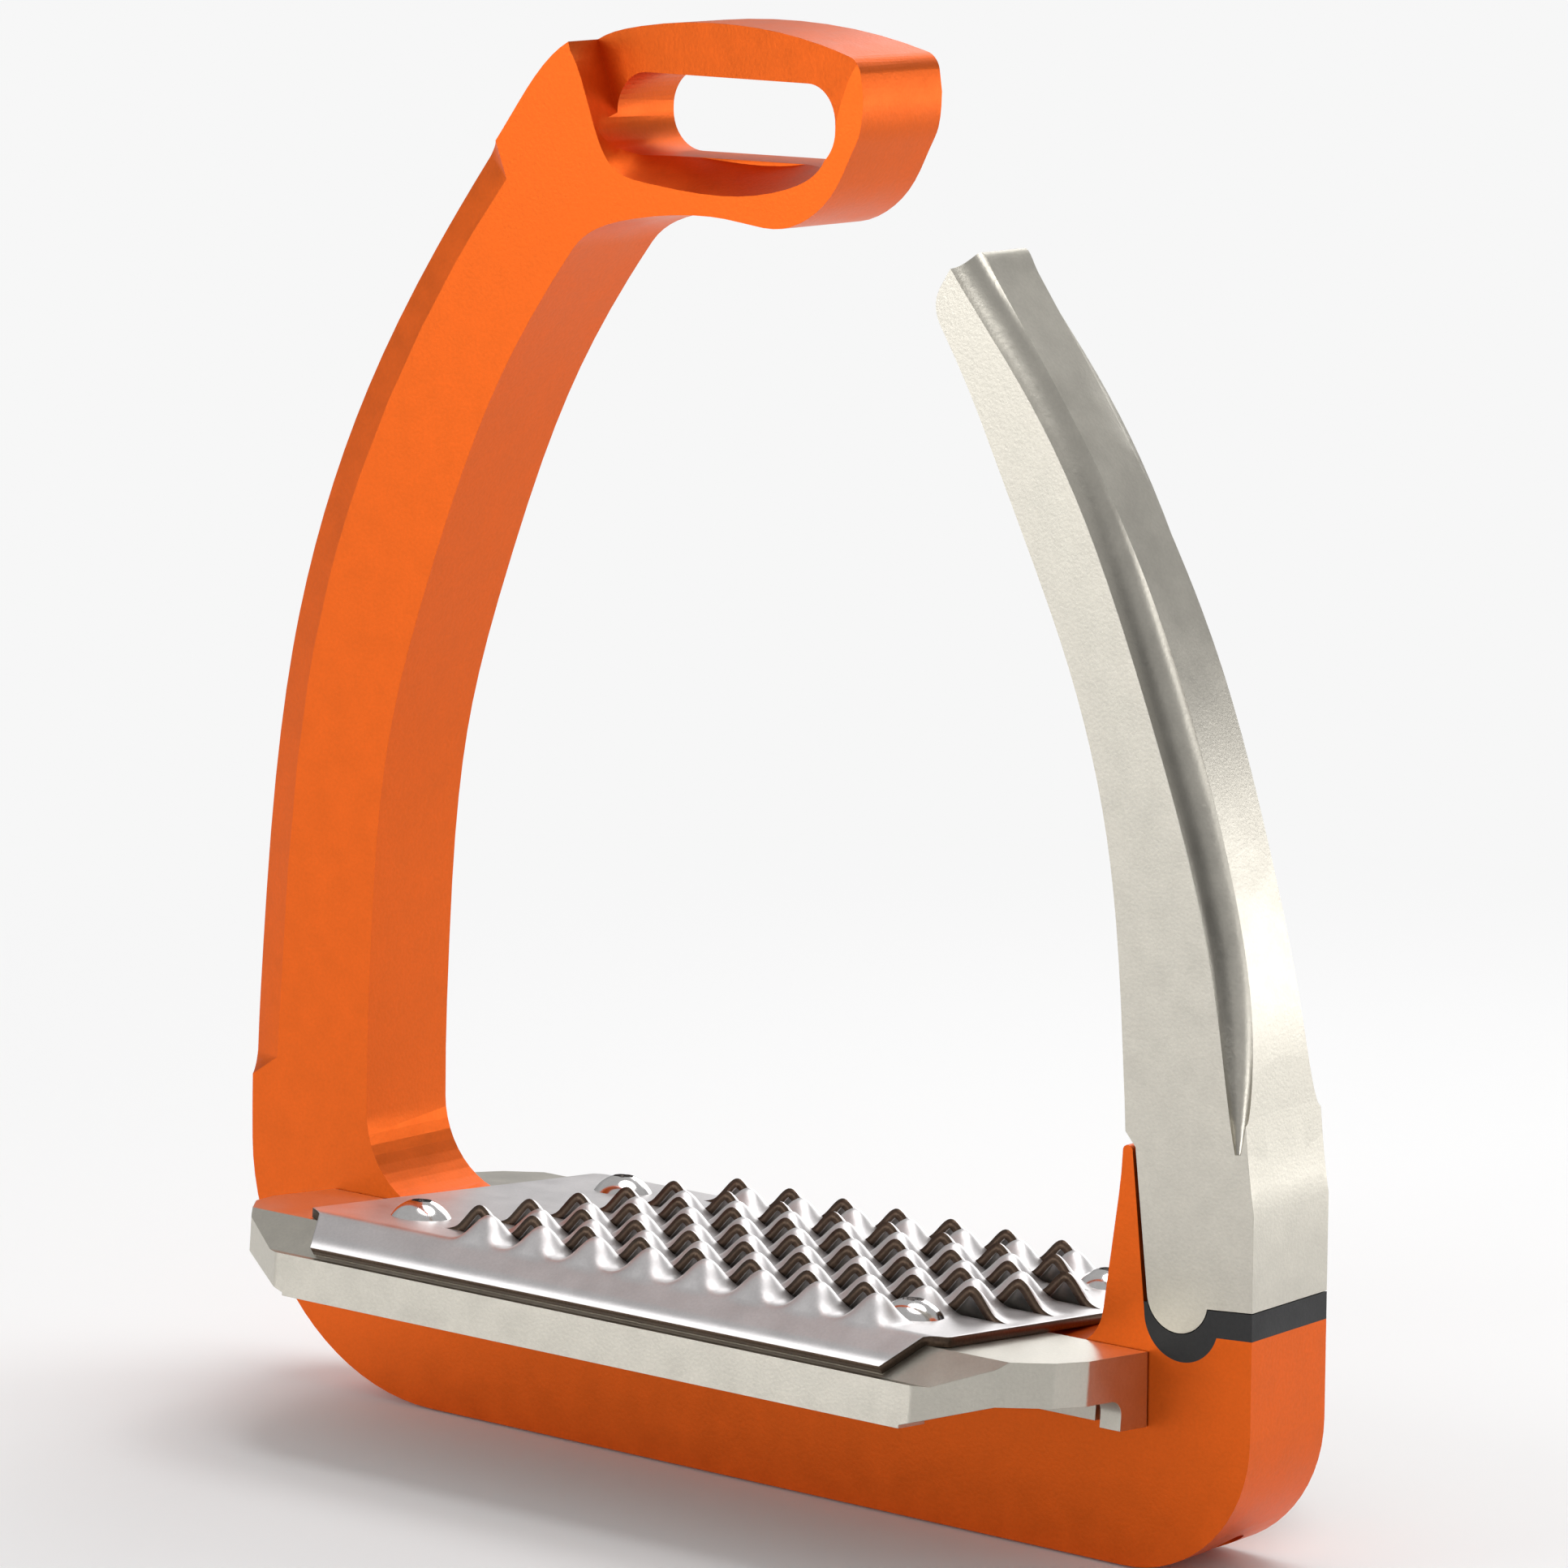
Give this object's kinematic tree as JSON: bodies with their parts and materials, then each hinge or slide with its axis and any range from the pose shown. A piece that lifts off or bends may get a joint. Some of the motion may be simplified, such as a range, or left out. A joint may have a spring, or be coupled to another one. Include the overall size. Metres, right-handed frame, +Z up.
{
  "type": "safety stirrup iron",
  "caption": "Safety stirrup iron: one-piece frame with a leather slot, a toothed grip tread on a leaning tray, and a hinged side arm held shut by a sprung draw cable.",
  "frame": {"origin": "middle of the flat base that the iron stands on, under the frame's centre plane", "axes": "+Z up to the leather slot, +X towards the releasing arm, +Y to the tread's lower (rear) edge"},
  "size_m": [0.1594, 0.0672, 0.178],
  "materials": {
    "orange_anodised": "satin anodised, bead blasted",
    "champagne_satin": "satin, lightly grained",
    "stainless_plate": "satin sheet",
    "screw_steel": "polished",
    "black_rubber": "matt",
    "spring_steel": "bright",
    "steel_cable": "stranded",
    "bronze": "turned"
  },
  "bodies": {
    "frame": {"frame": "orange_anodised", "joint_seal": "black_rubber", "base_bush": "bronze", "bottom_ferrule": "spring_steel", "anchor_plug": "screw_steel", "draw_cable_lower": "steel_cable", "tread_tray": "champagne_satin", "grip_plate": "stainless_plate", "tread_screws": "screw_steel", "tray_screws": "screw_steel"},
    "arm": {"release_arm": "champagne_satin", "arm_bush": "bronze", "draw_spring": "spring_steel"},
    "plunger": {"spring_cup": "spring_steel", "top_ferrule": "spring_steel", "draw_cable_upper": "steel_cable"}
  },
  "joints": [
    {"name": "arm_swing", "type": "hinge", "parent": "frame", "child": "arm", "pos_m": [0.0799, 0, 0.0333], "axis": [0, 1, 0], "range_deg": [0, 180], "stiffness_Nm_per_rad": 0.04, "springref_deg": -171.89},
    {"name": "spring_draw", "type": "slide", "parent": "arm", "child": "plunger", "axis": [0, 0, -1], "range_m": [0, 0.0198], "deforming": ["draw_spring"]}
  ],
  "couplings": [
    {"joint": "spring_draw", "follows": "arm_swing", "m_per_rad": 0.0063}
  ]
}
